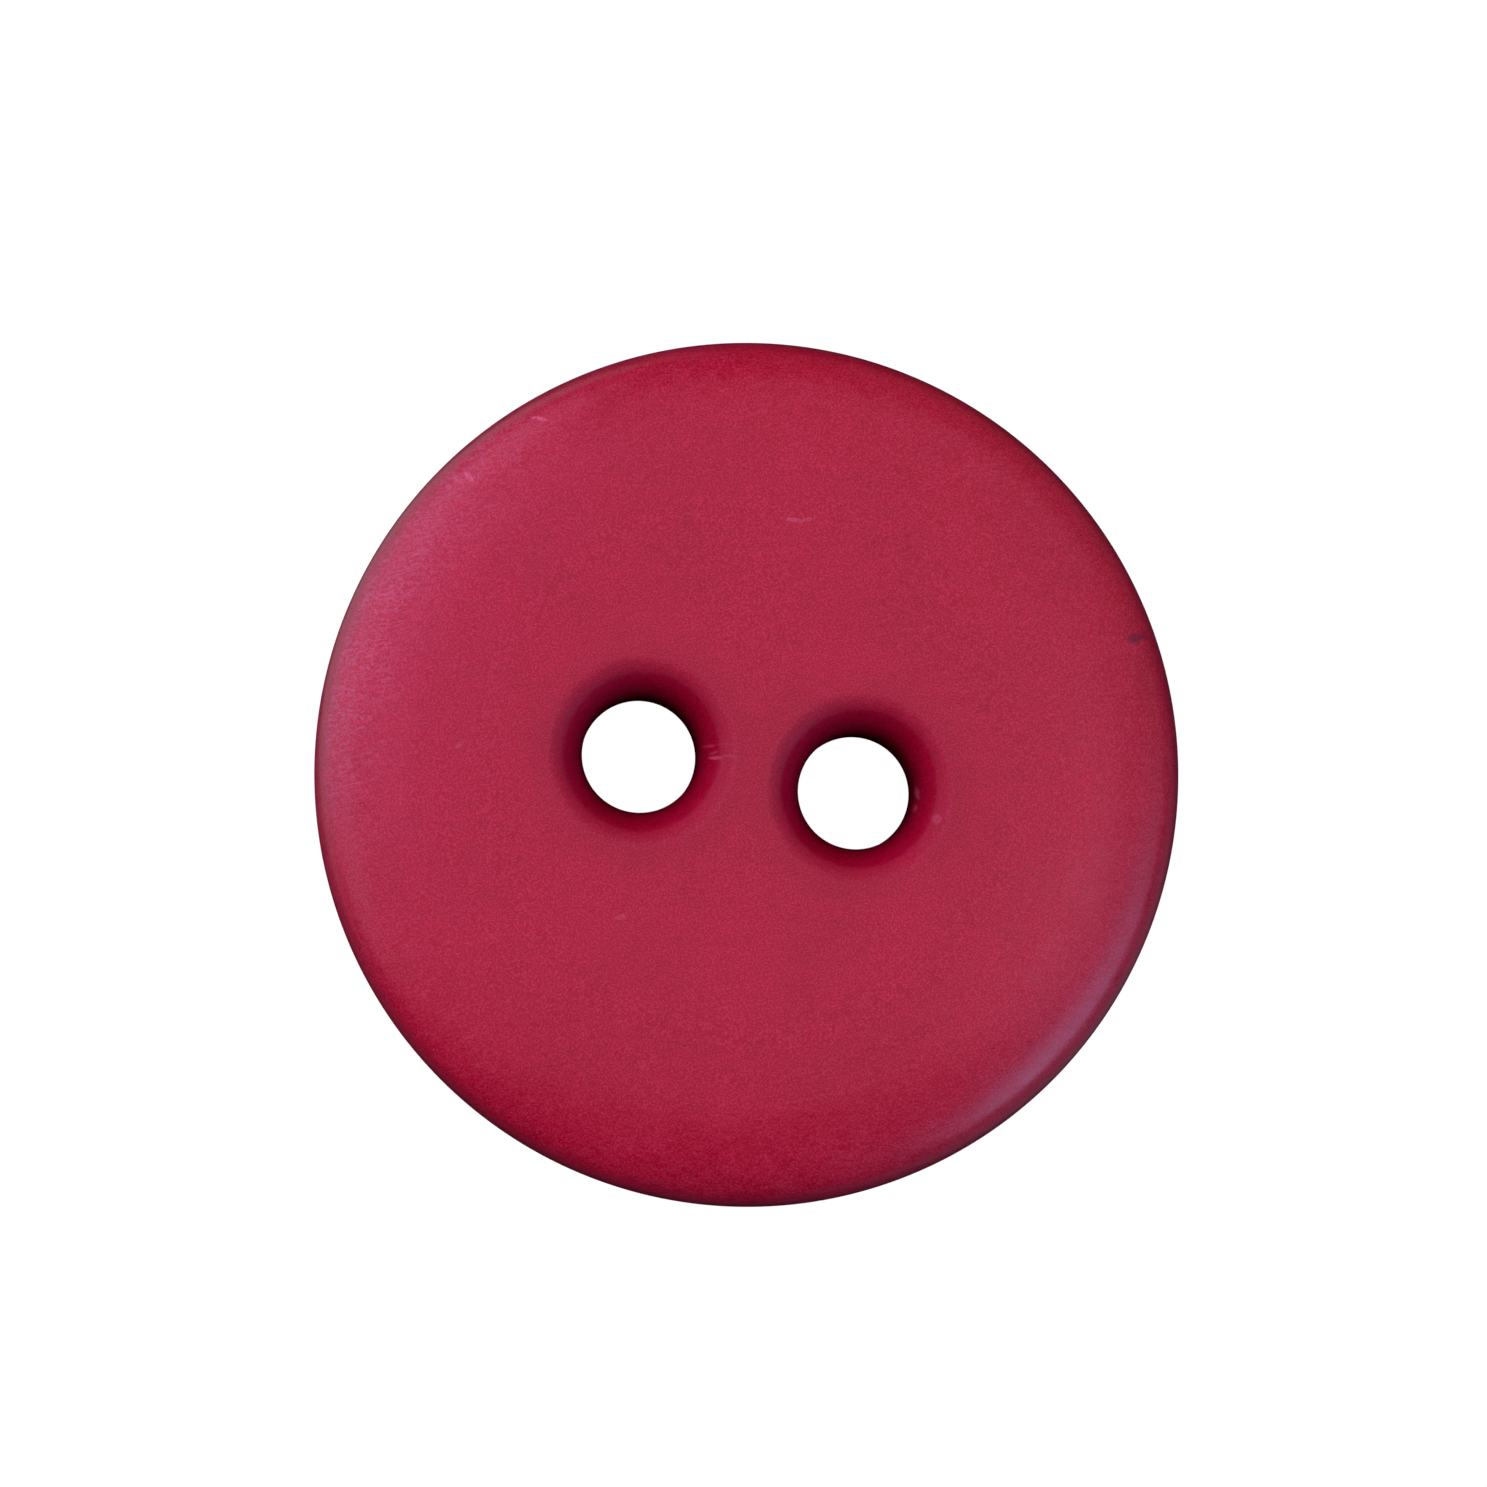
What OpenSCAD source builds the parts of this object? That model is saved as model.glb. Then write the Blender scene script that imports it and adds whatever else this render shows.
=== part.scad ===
// Two-hole sew-through button: one moulded disc with a flat middle, a rounded
// shoulder, a plain flat back and two round thread holes with sunken mouths.
// Millimetres. The origin is the centre of the back face, z points out of the
// front and the holes lie along x.

/* [Disc] */
// Outside diameter
button_d = 15; // [14.5:0.1:20]
// Thickness at the middle
button_t = 2.5; // [2.2:0.1:3.4]

/* [Front face] */
// Radius of the shallow dome around the flat middle
dome_r = 22; // [15:1:25]
// Radius of the shoulder that turns down from the dome
shoulder_r = 5; // [4:0.25:6]
// Radius of the brow that follows the shoulder
brow_r = 1.625; // [1.25:0.125:2]
// Radius of the rim below the brow
rim_r = 0.7; // [0.5:0.1:1]
// Rounding of the front edge
front_edge_r = 0.9; // [0.5:0.05:1]

/* [Back face] */
// Rounding of the back edge
back_edge_r = 0.5; // [0.3:0.05:0.6]
// Radius of the curve that eases the back edge into the flat back
back_ease_r = 2; // [1:0.1:3]

/* [Thread holes] */
// Diameter of each hole
hole_d = 2; // [1.6:0.05:2.1]
// Distance between the hole centres
hole_pitch = 3.8; // [3.8:0.1:4.2]
// Radius of a front mouth's sunken flank, next to the bore
mouth_flank_r = 1.75; // [1:0.25:2]
// Rounding of a front mouth's lip, where it meets the face
mouth_lip_r = 0.4; // [0.2:0.05:0.5]
// Rounding of a back mouth
back_mouth_r = 0.3; // [0.1:0.05:0.5]

/* [Hidden] */
$fn = 180;

// Outward directions at which one arc of a section hands over to the next.
// They are whole-number right triangles, so that the ends of the arcs meet.
up = [0, 1];
out = [1, 0];
tip_4 = [0.07584, 0.99712];   // 4.35 degrees from straight up
tip_16 = [0.28, 0.96];        // 16.26 degrees
tip_33 = [0.5376, 0.8432];    // 32.52 degrees
tip_53 = [0.8, 0.6];          // 53.13 degrees
function under(n) = [n[0], -n[1]];
function inward(n) = [-n[0], n[1]];

// Each arc is [radius, direction at its start, direction at its end]. The back
// runs from its flat out to the side, the front from the side in to its flat.
back = [
    [back_ease_r, under(up), under(tip_16)],
    [back_edge_r, under(tip_16), out]
];
front = [
    [front_edge_r, out, tip_53],
    [rim_r, tip_53, tip_33],
    [brow_r, tip_33, tip_16],
    [shoulder_r, tip_16, tip_4],
    [dome_r, tip_4, up]
];

// Where the arc that starts at p ends, all the points along a run of arcs, and
// how far such a run reaches.
function arc_end(p, arc) = p + arc[0] * (arc[2] - arc[1]);
function arc_points(p, arcs, i = 0) =
    i == len(arcs) ? [p] : concat([p], arc_points(arc_end(p, arcs[i]), arcs, i + 1));
function run_end(arcs) = let (points = arc_points([0, 0], arcs)) points[len(arcs)];

// The flat back takes up the width its arcs leave, and the straight side the height.
flat_back_r = button_d / 2 - run_end(back)[0];
side_z = button_t - run_end(front)[1];

// A front mouth: from the bore's wall up to the face, which it meets at 4.35
// degrees. It is drawn on to its crest, just above the face.
hole_r = hole_d / 2;
mouth = [
    [mouth_flank_r, [-1, 0], inward(tip_53)],
    [mouth_lip_r, inward(tip_53), up]
];
mouth_z = button_t - run_end(mouth)[1] + mouth_lip_r * (up - tip_4)[1];

// A back mouth, from its crest just below the back face up to the bore's wall.
back_mouth = [[back_mouth_r, under(up), [-1, 0]]];
back_crest = [hole_r + back_mouth_r, -back_mouth_r * (up - tip_4)[1]];

// The sliver between an arc and its chord.
module bulge(p, arc) {
    q = arc_end(p, arc);
    mid = arc[1] + arc[2];
    reach = 2 * arc[0] * (1 - norm(mid) / 2) * mid / norm(mid);
    intersection() {
        translate(p - arc[0] * arc[1]) circle(r = arc[0]);
        polygon([p, p + reach, q + reach, q]);
    }
}

module bulges(points, arcs) {
    for (i = [0 : len(arcs) - 1]) bulge(points[i], arcs[i]);
}

// Half of the disc's section.
module disc_section() {
    low = arc_points([flat_back_r, 0], back);
    high = arc_points([button_d / 2, side_z], front);
    polygon(concat([[0, 0]], low, high, [[0, button_t]]));
    bulges(low, back);
    bulges(high, front);
}

// Half of the section of one thread hole, which reaches past both faces.
module hole_section() {
    low = arc_points(back_crest, back_mouth);
    high = arc_points([hole_r, mouth_z], mouth);
    difference() {
        polygon(concat(
            [[0, -1], [back_crest[0], -1]], low, high,
            [[high[len(mouth)][0], button_t + 1], [0, button_t + 1]]));
        bulges(low, back_mouth);
        bulges(high, mouth);
    }
}

module button() {
    color([0.66, 0.15, 0.26])
    difference() {
        rotate_extrude() disc_section();
        for (side = [-1, 1])
            translate([side * hole_pitch / 2, 0, 0])
                rotate_extrude() hole_section();
    }
}

button();
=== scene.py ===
# The look of a two-hole sew-through button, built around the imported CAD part.
# Metres in Blender, millimetres in the tables below. The back lies on z = 0,
# z points out of the domed front and the thread holes lie along x.
import math

import bmesh
import bpy
import numpy as np
from mathutils import Matrix, Vector


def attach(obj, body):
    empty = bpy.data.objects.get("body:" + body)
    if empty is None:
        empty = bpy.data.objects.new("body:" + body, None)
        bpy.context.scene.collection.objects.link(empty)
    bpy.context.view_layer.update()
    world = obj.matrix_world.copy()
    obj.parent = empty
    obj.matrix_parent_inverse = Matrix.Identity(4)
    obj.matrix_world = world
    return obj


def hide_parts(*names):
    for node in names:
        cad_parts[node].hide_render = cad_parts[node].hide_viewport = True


MM = 0.001
PX = 1487.0                      # the photograph's side

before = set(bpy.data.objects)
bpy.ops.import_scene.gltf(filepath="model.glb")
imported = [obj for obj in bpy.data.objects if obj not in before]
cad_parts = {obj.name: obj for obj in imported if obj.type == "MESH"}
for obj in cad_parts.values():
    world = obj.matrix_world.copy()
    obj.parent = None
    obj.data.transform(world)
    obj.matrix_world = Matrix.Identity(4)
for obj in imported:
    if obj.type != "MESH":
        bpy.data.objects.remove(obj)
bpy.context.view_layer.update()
scene = bpy.context.scene

# ---------------------------------------------------------------- camera
ROLL = math.radians(9.5)         # the hole line runs down to the right
TILT = math.radians(4.1)         # the lens stands a little below and left of the axis
TILT_TO = Vector((-0.66, -0.75)).normalized()
LENS = 135.0
PX_PER_MM = 57.8                 # across the disc's widest level
CENTRE_PX = (748.4, 772.6)       # where the disc's middle sits in the frame

right0 = Vector((math.cos(ROLL), math.sin(ROLL), 0.0))
up0 = Vector((-math.sin(ROLL), math.cos(ROLL), 0.0))
toward = (right0 * TILT_TO.x + up0 * TILT_TO.y) * math.sin(TILT) + Vector((0, 0, math.cos(TILT)))
cam_right = up0.cross(toward).normalized()
cam_up = toward.cross(cam_right).normalized()
cam_data = bpy.data.cameras.new("camera")
cam_data.lens = LENS
cam_data.sensor_width = 36.0
cam_data.clip_start, cam_data.clip_end = 0.005, 10.0
camera = bpy.data.objects.new("camera", cam_data)
scene.collection.objects.link(camera)
reach = PX / PX_PER_MM / 2 / (18.0 / LENS) * MM
off = Vector(((CENTRE_PX[0] - PX / 2), (CENTRE_PX[1] - PX / 2))) / PX_PER_MM * MM
aim = Vector((0, 0, 1.6 * MM)) - cam_right * off.x + cam_up * off.y
rot = Matrix((cam_right, cam_up, toward)).transposed().to_4x4()
camera.matrix_world = Matrix.Translation(aim + toward * reach) @ rot
scene.camera = camera

# ---------------------------------------------------------------- the button's form
RADIUS, THICK = 7.5, 2.5
HOLE_X, HOLE_R, BACK_MOUTH = 1.9, 1.0, 0.3
TIP_4 = math.atan2(0.07584, 0.99712)
TIP_16 = math.atan2(0.28, 0.96)
TIP_33 = math.atan2(0.5376, 0.8432)
TIP_53 = math.atan2(0.8, 0.6)
DOWN = math.pi
# each arc: radius, slope at its start, slope at its end, steps
FRONT = [
    (22.0, 0.0, TIP_4, 12),             # dome
    (5.0, TIP_4, TIP_16, 18),           # shoulder
    (1.625, TIP_16, TIP_33, 18),        # brow
    (0.7, TIP_33, TIP_53, 16),          # rim
    (0.9, TIP_53, DOWN / 2, 18),        # front edge
]
BACK = [
    (0.5, DOWN / 2, DOWN - TIP_16, 14),
    (2.0, DOWN - TIP_16, DOWN, 6),
]
MOUTH = [(0.4, 0.0, TIP_53, 14), (1.75, TIP_53, DOWN / 2, 16)]    # lip, flank


def arc_points(p, arcs):
    """Points along a run of arcs that starts at p, by each arc's own steps."""
    out = []
    for r, a, b, n in arcs:
        c = (p[0] - r * math.sin(a), p[1] - r * math.cos(a))
        for k in range(1, n + 1):
            s = a + (b - a) * k / n
            out.append((c[0] + r * math.sin(s), c[1] + r * math.cos(s)))
        p = out[-1]
    return out


FLAT_R = RADIUS - arc_points((0.0, 0.0), FRONT)[-1][0]
front = arc_points((FLAT_R, THICK), FRONT)
back_z = -arc_points((0.0, 0.0), BACK)[-1][1]
side = [(RADIUS, z) for z in np.linspace(front[-1][1], back_z, 7)[1:]]
OUTLINE = front + side + arc_points((RADIUS, back_z), BACK)       # flat front to flat back
lip_run = arc_points((0.0, 0.0), MOUTH)[-1][0]
LIP_R = HOLE_R + lip_run
MOUTH_RINGS = [(2 * LIP_R - r, z) for r, z in arc_points((LIP_R, THICK), MOUTH)]   # face to bore

N_ARC, N_LINE = 192, 128         # columns that run to the rim, and to the middle line
N = N_ARC + N_LINE


def half_button():
    """The half with x >= 0, as an all-quad mesh around its hole."""
    phi = np.linspace(-math.pi / 2, math.pi / 2, N_ARC + 1)
    corner = math.atan2(FLAT_R, -HOLE_X)
    psi = np.linspace(corner, 2 * math.pi - corner, N_LINE + 1)[1:-1]
    bx = np.concatenate([FLAT_R * np.cos(phi), np.zeros(N_LINE - 1)])
    by = np.concatenate([FLAT_R * np.sin(phi), -HOLE_X * np.tan(psi)])
    bx[0] = bx[N_ARC] = 0.0
    turn = np.arctan2(by, bx - HOLE_X)
    c, s = np.cos(turn), np.sin(turn)
    verts, faces = [], []

    def add(x, y, z):
        first = sum(len(v) for v in verts)
        verts.append(np.column_stack([x, y, np.broadcast_to(z, np.shape(x))]))
        return first + np.arange(len(x))

    def skin(a, b, closed=True):
        for i in range(len(a) if closed else len(a) - 1):
            j = (i + 1) % len(a)
            faces.append((a[i], a[j], b[j], b[i]))

    # flat middle of the front, from the mouth's lip out to the dome and the middle line
    lip = last = add(HOLE_X + LIP_R * c, LIP_R * s, THICK)
    for g in np.linspace(0, 1, 17)[1:]:
        x, y = HOLE_X + LIP_R * c, LIP_R * s
        row = add(x + (bx - x) * g, y + (by - y) * g, THICK)
        skin(last, row)
        last = row

    # dome, shoulder, rim, side and back edge
    last = last[: N_ARC + 1]
    for r, z in OUTLINE:
        x, y = r * np.cos(phi), r * np.sin(phi)
        x[0] = x[-1] = 0.0
        row = add(x, y, z)
        skin(last, row, closed=False)
        last = row
    edge_r = OUTLINE[-1][0]
    for r in np.linspace(edge_r, FLAT_R, 6)[1:-1]:
        x, y = r * np.cos(phi), r * np.sin(phi)
        x[0] = x[-1] = 0.0
        row = add(x, y, 0.0)
        skin(last, row, closed=False)
        last = row

    # flat back around the hole
    ring = add(bx, by, 0.0)
    skin(last, ring[: N_ARC + 1], closed=False)
    last = ring
    crest = HOLE_R + BACK_MOUTH
    qx, qy = HOLE_X + crest * c, crest * s
    for g in np.linspace(0, 1, 10)[1:]:
        row = add(bx + (qx - bx) * g, by + (qy - by) * g, 0.0)
        skin(last, row)
        last = row

    # back mouth, bore and front mouth
    rings = [(crest - BACK_MOUTH * math.sin(a), BACK_MOUTH * (1 - math.cos(a)))
             for a in np.linspace(0, math.pi / 2, 9)[1:]]
    rings += [(HOLE_R, z) for z in np.linspace(BACK_MOUTH, MOUTH_RINGS[-1][1], 7)[1:]]
    rings += MOUTH_RINGS[-2::-1]
    for r, z in rings:
        row = add(HOLE_X + r * c, r * s, z)
        skin(last, row)
        last = row
    skin(last, lip)
    return np.vstack(verts), faces


def soft_unevenness(v):
    """A few thousandths of a millimetre of tumbling waviness on the front, none at the holes."""
    x, y, z = v.T
    w = np.clip((z - 1.9) / 0.3, 0, 1)
    for hx in (-HOLE_X, HOLE_X):
        w = w * np.clip((np.hypot(x - hx, y) - LIP_R) / 0.8, 0, 1)
    rng = np.random.default_rng(17)
    h = np.zeros(len(v))
    for wave in (5.2, 3.9, 3.1, 2.4, 1.9, 1.5, 1.2):
        for _ in range(3):
            a, p = rng.uniform(0, 2 * math.pi, 2)
            h += 0.00042 * wave * np.sin(2 * math.pi / wave * (x * math.cos(a) + y * math.sin(a)) + p)
    out = v.copy()
    out[:, 2] -= w * (h + 0.012) * 0.5
    return out


def make_button():
    v, f = half_button()
    both = np.vstack([v, v * (-1, 1, 1)])
    faces = f + [tuple(len(v) + i for i in reversed(q)) for q in f]
    both = soft_unevenness(both)
    mesh = bpy.data.meshes.new("button_body")
    mesh.from_pydata((both * MM).tolist(), [], [tuple(int(i) for i in q) for q in faces])
    bm = bmesh.new()
    bm.from_mesh(mesh)
    bmesh.ops.remove_doubles(bm, verts=bm.verts, dist=2e-8)
    bmesh.ops.recalc_face_normals(bm, faces=bm.faces)
    for q in bm.faces:
        q.smooth = True
    bm.to_mesh(mesh)
    bm.free()
    obj = bpy.data.objects.new("button_body", mesh)
    scene.collection.objects.link(obj)
    return obj


# ---------------------------------------------------------------- material
# Marks of wear on the front, listed one by one. Millimetres to the right and up from the middle as
# the camera sees it, half length, half width, turn of the length in degrees, strength.
SCUFFS = [
    (-3.60, 6.07, 0.14, 0.045, -14, 1.0),     # nick at the upper left rim
    (-3.71, 6.10, 0.10, 0.035, 14, 0.8),
    (-4.84, 5.05, 0.18, 0.070, -52, 0.8),
    (-5.02, 5.02, 0.20, 0.10, -40, 0.3),
    (0.72, 4.31, 0.17, 0.050, -7, 0.55),      # short crescent above the holes
    (0.95, 4.31, 0.17, 0.045, 12, 0.5),
    (-0.59, 0.22, 0.15, 0.045, -5, 0.65),     # scratches beside the left hole's mouth
    (-0.62, 0.31, 0.10, 0.030, 10, 0.30),
    (-0.70, 0.43, 0.16, 0.032, 0, 0.30),
    (-0.36, 0.24, 0.22, 0.028, -3, 0.22),
    (-0.40, 0.45, 0.24, 0.025, 0, 0.16),
    (2.92, -0.36, 0.045, 0.15, 8, 0.40),      # and inside the right hole
    (2.88, -0.62, 0.050, 0.10, -15, 0.25),
    (3.20, -0.83, 0.10, 0.13, 0, 0.35),
    (-5.00, 0.42, 0.12, 0.06, 40, 0.35),
    (-2.22, -2.52, 0.14, 0.06, 15, 0.3),
]
STAINS = [
    (6.66, 2.32, 0.20, 0.13, 10, 1.0),        # dark spot by the right rim
    (6.84, 2.38, 0.08, 0.11, 0, 0.8),
]


def crimson_plastic():
    """Polyester dyed through and tumbled to a satin: fine grain, a cloudy dye, a few scuffs, a
    shoulder worn by rubbing and duller lips at the holes. Painted shade darkens the dye in and
    around the holes, a painted grey sheen runs along the front's outer edge and a painted highlight
    tints the worn shoulder, most on the upper left. Its patterns hang on the object's own
    coordinates, turned to millimetres."""
    mat = bpy.data.materials.new("crimson_plastic")
    mat.use_nodes = True
    nt = mat.node_tree
    nt.nodes.clear()

    def node(kind, *values, **settings):
        n = nt.nodes.new("ShaderNode" + kind)
        for k, v in settings.items():
            setattr(n, k, v)
        for socket, v in zip(n.inputs, values):
            if isinstance(v, bpy.types.NodeSocket):
                nt.links.new(v, socket)
            elif v is not None:
                socket.default_value = v
        return n

    def calc(op, a, b=0.0, c=0.0):
        return node("Math", a, b, c, operation=op).outputs[0]

    def span(value, lo, hi, to_lo=0.0, to_hi=1.0):
        return node("MapRange", value, lo, hi, to_lo, to_hi, interpolation_type="SMOOTHSTEP").outputs[0]

    def noise(per_mm, detail, coords, gain=0.5):
        return node("TexNoise", coords, None, per_mm, detail, gain).outputs["Fac"]

    def mix(fac, a, b, blend="MIX"):
        m = nt.nodes.new("ShaderNodeMix")
        m.data_type, m.blend_type = "RGBA", blend
        for socket, v in ((m.inputs[0], fac), (m.inputs[6], a), (m.inputs[7], b)):
            if isinstance(v, bpy.types.NodeSocket):
                nt.links.new(v, socket)
            else:
                socket.default_value = v
        return m.outputs[2]

    def length(v):
        return node("VectorMath", v, operation="LENGTH").outputs["Value"]

    mm = node("VectorMath", node("TexCoord").outputs["Object"], (1000, 1000, 1000), operation="MULTIPLY").outputs[0]
    flat = node("VectorMath", mm, (1, 1, 0), operation="MULTIPLY").outputs[0]
    x, y, z = node("SeparateXYZ", mm).outputs
    from_axis = length(flat)
    to_hole = node("CombineXYZ", calc("SUBTRACT", calc("ABSOLUTE", x), HOLE_X), y, 0.0).outputs[0]
    from_hole = length(to_hole)

    grain = noise(34.0, 1.0, mm)
    cloud = noise(0.6, 3.0, mm)
    fleck = noise(3.2, 3.0, mm)
    along = node("Mapping", mm, (0, 0, 0), (0, 0, ROLL + math.radians(8)), (0.26, 0.055, 0.26),
                 vector_type="TEXTURE").outputs[0]
    streak = noise(1.0, 1.0, along)

    # dye, with painted shade at the holes and a painted grey sheen along the front's edge
    colour = mix(span(grain, 0.40, 0.68), (0.432, 0.0001, 0.023, 1), (0.602, 0.0320, 0.084, 1))
    shade = calc("MULTIPLY", span(cloud, 0.3, 0.7, 0.965, 1.035), span(fleck, 0.25, 0.75, 0.975, 1.025))
    shade = calc("MULTIPLY", shade, span(streak, 0.25, 0.75, 0.96, 1.04))
    # around a hole, by the distance from its middle: painted shade that darkens the dye towards the bore and takes
    # out most of its green there
    stops = [(1.0, 0.32, 0.2), (1.05, 0.50, 0.2), (1.1, 0.60, 0.2), (1.18, 0.71, 0.2), (1.25, 0.78, 0.2),
             (1.32, 0.82, 0.2), (1.45, 0.84, 0.3), (1.55, 0.87, 0.6), (1.67, 0.91, 0.9), (1.8, 0.93, 1.0),
             (1.95, 0.96, 1.0), (2.2, 1.0, 1.0)]
    first, reach_out = stops[0][0], stops[-1][0] - stops[0][0]
    inside = node("ValToRGB", calc("DIVIDE", calc("SUBTRACT", from_hole, first), reach_out))
    ramp = inside.color_ramp
    ramp.interpolation = "LINEAR"
    ramp.elements[0].position, ramp.elements[1].position = 0.0, 1.0
    for r, _, _ in stops[1:-1]:
        ramp.elements.new((r - first) / reach_out)
    for e, (_, level, green) in zip(ramp.elements, stops):
        e.color = (level, level * green, level, 1)
    colour = mix(1.0, colour, shade, "MULTIPLY")
    # painted shade in and around the holes
    colour = mix(1.0, colour, inside.outputs["Color"], "MULTIPLY")
    # painted grey sheen along the front's outer edge, which also darkens its red there
    edge = calc("MULTIPLY", span(from_axis, 7.31, 7.48, 0.0, 0.55), span(z, 1.35, 1.75))
    colour = mix(edge, colour, (0.30, 0.060, 0.085, 1))

    # wear, and a painted highlight over the shoulder's rub
    front = span(z, 1.2, 1.5)

    def marks(table, frayed):
        total = None
        for u, v, half, wide, turn, strength in table:
            at = right0 * u + up0 * v
            m = node("Mapping", flat, (at.x, at.y, 0), (0, 0, math.radians(turn) + ROLL), (half, wide, 1),
                     vector_type="TEXTURE")
            m = span(length(m.outputs[0]), 1.0, 0.35, 0.0, strength)
            total = m if total is None else calc("MAXIMUM", total, m)
        return calc("MULTIPLY", calc("MULTIPLY", total, frayed), front)

    frayed = span(noise(24.0, 2.0, mm), 0.32, 0.58, 0.35, 1.0)
    scuff = marks(SCUFFS, frayed)
    stain = marks(STAINS, span(fleck, 0.3, 0.6, 0.75, 1.0))
    colour = mix(calc("MULTIPLY", stain, 0.75), colour, (0.17, 0.0030, 0.050, 1))
    # the shoulder's rub: pale specks and short hairs that roughen and dent it, and a painted pale violet highlight
    # in its colour, most on the upper left, the side the light comes from
    lit_side = right0 * math.cos(math.radians(155)) + up0 * math.sin(math.radians(155))
    lean_to_lit_side = calc("DIVIDE", node("VectorMath", flat, lit_side, operation="DOT_PRODUCT").outputs["Value"], from_axis)
    band = calc("MULTIPLY", span(from_axis, 5.7, 6.9), span(from_axis, 7.42, 7.25))
    patch = span(noise(1.6, 2.0, mm), 0.36, 0.62, 0.5, 1.0)
    speck = span(noise(12.0, 2.0, mm, 0.75), 0.47, 0.66, 0.0, 0.9)
    hair = span(noise(1.2, 2.0, along, 0.7), 0.49, 0.66)
    rub_and_painted_highlight = calc("MULTIPLY", calc("MULTIPLY", band, front), calc("MULTIPLY", patch, calc("MAXIMUM", speck, hair)))
    rub_and_painted_highlight = calc("MULTIPLY", rub_and_painted_highlight, span(lean_to_lit_side, 0.75, 1.0, 0.2, 1.0))
    # painted pale violet highlight over the rub
    colour = mix(calc("MULTIPLY", rub_and_painted_highlight, 0.40), colour, (0.69, 0.25, 0.38, 1))
    colour = mix(calc("MULTIPLY", scuff, 0.8), colour, (0.80, 0.22, 0.34, 1))

    # satin
    dull = calc("MULTIPLY", span(from_hole, 1.66, 1.50), span(from_hole, 1.30, 1.40))
    rough = calc("ADD", span(fleck, 0.25, 0.75, 0.29, 0.37), span(cloud, 0.3, 0.7, -0.02, 0.02))
    rough = calc("ADD", rough, span(streak, 0.25, 0.75, -0.03, 0.03))
    rough = calc("ADD", rough, calc("MULTIPLY", dull, 0.38))
    rough = calc("ADD", rough, calc("MULTIPLY", rub_and_painted_highlight, 0.08))
    rough = calc("ADD", rough, calc("MULTIPLY", scuff, 0.2))
    height = calc("ADD", calc("MULTIPLY", grain, 0.0010), calc("MULTIPLY", fleck, 0.0030))
    height = calc("SUBTRACT", height, calc("MULTIPLY", scuff, 0.0020))
    height = calc("SUBTRACT", height, calc("MULTIPLY", rub_and_painted_highlight, 0.0015))
    bump = node("Bump", 1.0, 0.001, None, height)

    bsdf = node("BsdfPrincipled")
    bsdf.inputs["IOR"].default_value = 1.5
    bsdf.inputs["Specular IOR Level"].default_value = 0.55
    nt.links.new(colour, bsdf.inputs["Base Color"])
    nt.links.new(rough, bsdf.inputs["Roughness"])
    nt.links.new(bump.outputs["Normal"], bsdf.inputs["Normal"])
    nt.links.new(bsdf.outputs["BSDF"], node("OutputMaterial").inputs["Surface"])
    return mat


button = make_button()
button.data.materials.append(crimson_plastic())
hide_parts("button")
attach(button, "root")

# ---------------------------------------------------------------- stage
floor_mesh = bpy.data.meshes.new("floor")
floor_mesh.from_pydata([(-3, -3, 0), (3, -3, 0), (3, 3, 0), (-3, 3, 0)], [], [(0, 1, 2, 3)])
floor = bpy.data.objects.new("floor", floor_mesh)
floor.location.z = -0.00002
scene.collection.objects.link(floor)
fmat = bpy.data.materials.new("floor_white")
fmat.use_nodes = True
fn = fmat.node_tree
fb = fn.nodes["Principled BSDF"]
fb.inputs["Base Color"].default_value = (0.1, 0.1, 0.1, 1)
fb.inputs["Roughness"].default_value = 1.0
fb.inputs["Specular IOR Level"].default_value = 0.0
fb.inputs["Emission Color"].default_value = (1, 1, 1, 1)
fb.inputs["Emission Strength"].default_value = 1.0
floor_mesh.materials.append(fmat)
floor.visible_diffuse = floor.visible_glossy = False

world = bpy.data.worlds.new("studio")
scene.world = world
world.use_nodes = True
world.node_tree.nodes["Background"].inputs["Color"].default_value = (1, 1, 1, 1)
world.node_tree.nodes["Background"].inputs["Strength"].default_value = 1.05
world.cycles_visibility.diffuse = world.cycles_visibility.glossy = False
world.cycles_visibility.transmission = world.cycles_visibility.scatter = False


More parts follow.
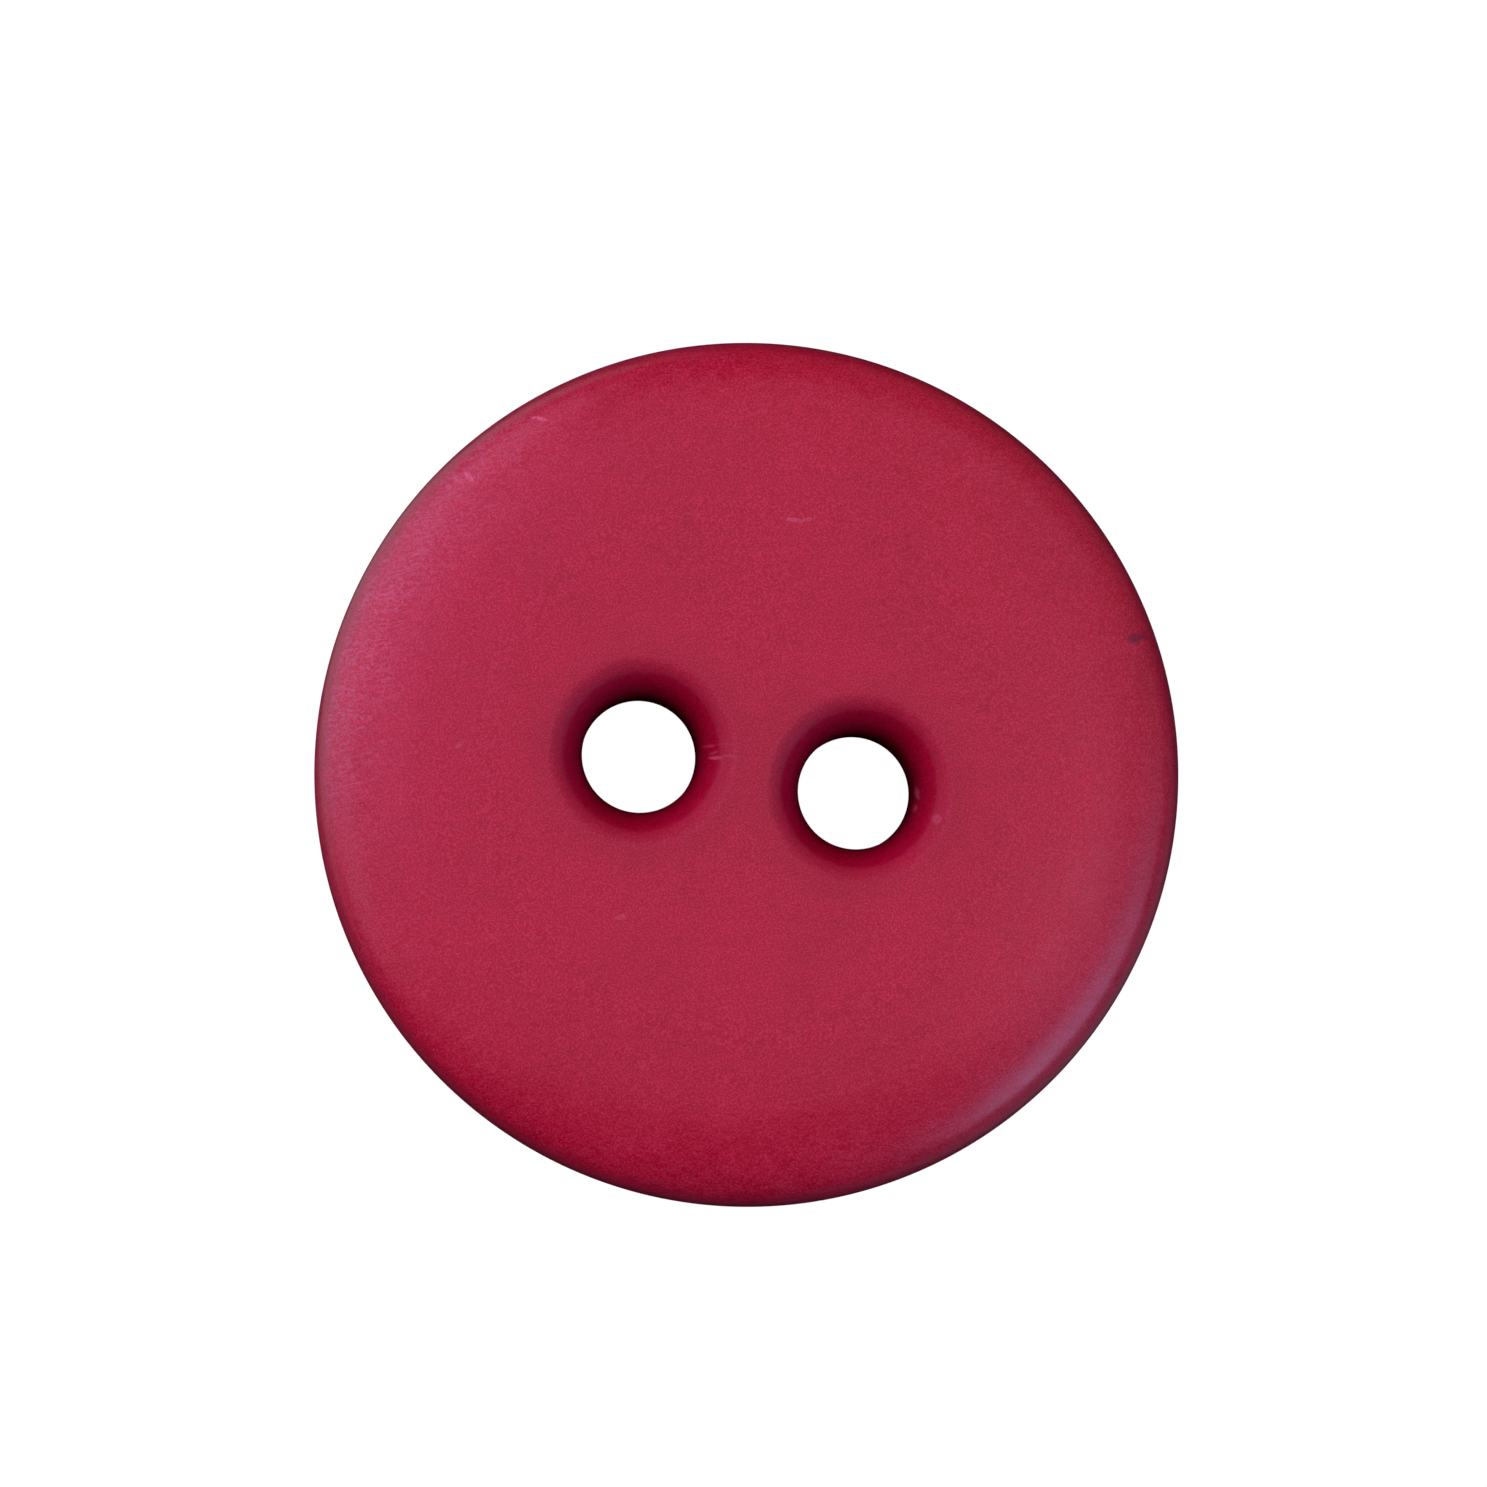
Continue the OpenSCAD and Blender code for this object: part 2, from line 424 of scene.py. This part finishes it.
def softbox(name, azimuth, from_zenith, radiance, half, distance=0.2):
    """A soft light seen from the button at an image azimuth (0 right, 90 up) and an angle from
    straight up. Its half width and half height are given as parts of its distance."""
    a, t = math.radians(azimuth), math.radians(from_zenith)
    across = up0 * math.cos(a) - right0 * math.sin(a)
    d = (right0 * math.cos(a) + up0 * math.sin(a)) * math.sin(t) + Vector((0, 0, math.cos(t)))
    data = bpy.data.lights.new(name, "AREA")
    data.shape = "ELLIPSE"
    data.size, data.size_y = 2 * half[0] * distance, 2 * half[1] * distance
    top = max(radiance)
    data.color = [c / top for c in radiance]
    data.energy = top * math.pi * (math.pi / 4 * data.size * data.size_y)
    obj = bpy.data.objects.new(name, data)
    turn = Matrix((across, d.cross(across), d)).transposed().to_4x4()
    obj.matrix_world = Matrix.Translation(d * distance) @ turn
    obj.visible_camera = False
    scene.collection.objects.link(obj)
    return obj


# name, azimuth, from zenith, radiance, half size
LIGHTS = [
    ("overhead", 120, 12, (0.74, 0.40, 0.57), (1.4, 0.5)),
    ("overhead_left", 150, 24, (1.24, 0.28, 0.85), (0.3, 0.3)),
    ("overhead_right", 345, 24, (2.56, 1.05, 1.57), (0.18, 0.18)),
    ("window", 150, 72, (0.22, 0.08, 0.32), (0.8, 0.8)),
    ("window_high", 140, 58, (2.00, 0.99, 1.48), (0.5, 0.35)),
    ("window_low", 160, 86, (0.12, 0.79, 1.00), (0.5, 0.3)),
    ("left", 185, 62, (0.90, 0.64, 0.92), (0.35, 0.35)),
    ("rim_wide", 330, 60, (0.30, 0.39, 0.67), (0.5, 0.5)),
    ("rim_mid", 325, 66, (0.89, 0.96, 1.82), (0.3, 0.3)),
    ("rim_narrow", 315, 72, (0.20, 0.50, 0.64), (0.18, 0.18)),
    ("right", 5, 60, (0.36, 0.22, 0.24), (0.35, 0.35)),
    ("far_corner", 45, 80, (0.05, 0.11, 0.09), (0.8, 0.8)),
]
for light in LIGHTS:
    softbox(*light)


def floor_card(name, azimuth, radiance, width, near=0.0085, far=0.045):
    """A card that lies on the floor on one side of the button and throws light up at its rim."""
    mid = (near + far) / 2
    card = softbox(name, azimuth, 90, radiance, (width / 2 / mid, (far - near) / 2 / mid), distance=mid)
    card.data.shape = "RECTANGLE"
    card.data.energy *= 4 / math.pi
    a = math.radians(azimuth)
    away = right0 * math.cos(a) + up0 * math.sin(a)
    turn = Matrix((Vector((away.y, -away.x, 0)), away, Vector((0, 0, -1)))).transposed().to_4x4()
    card.matrix_world = Matrix.Translation(away * mid + Vector((0, 0, 0.0001))) @ turn


floor_card("card_window", 150, (0.13, 0.57, 0.60), 0.03)
floor_card("card_rim", 325, (0.05, 0.16, 0.21), 0.02)

scene.view_settings.view_transform = "Standard"
scene.view_settings.look = "None"

# ---------------------------------------------------------------- close
bpy.context.view_layer.update()
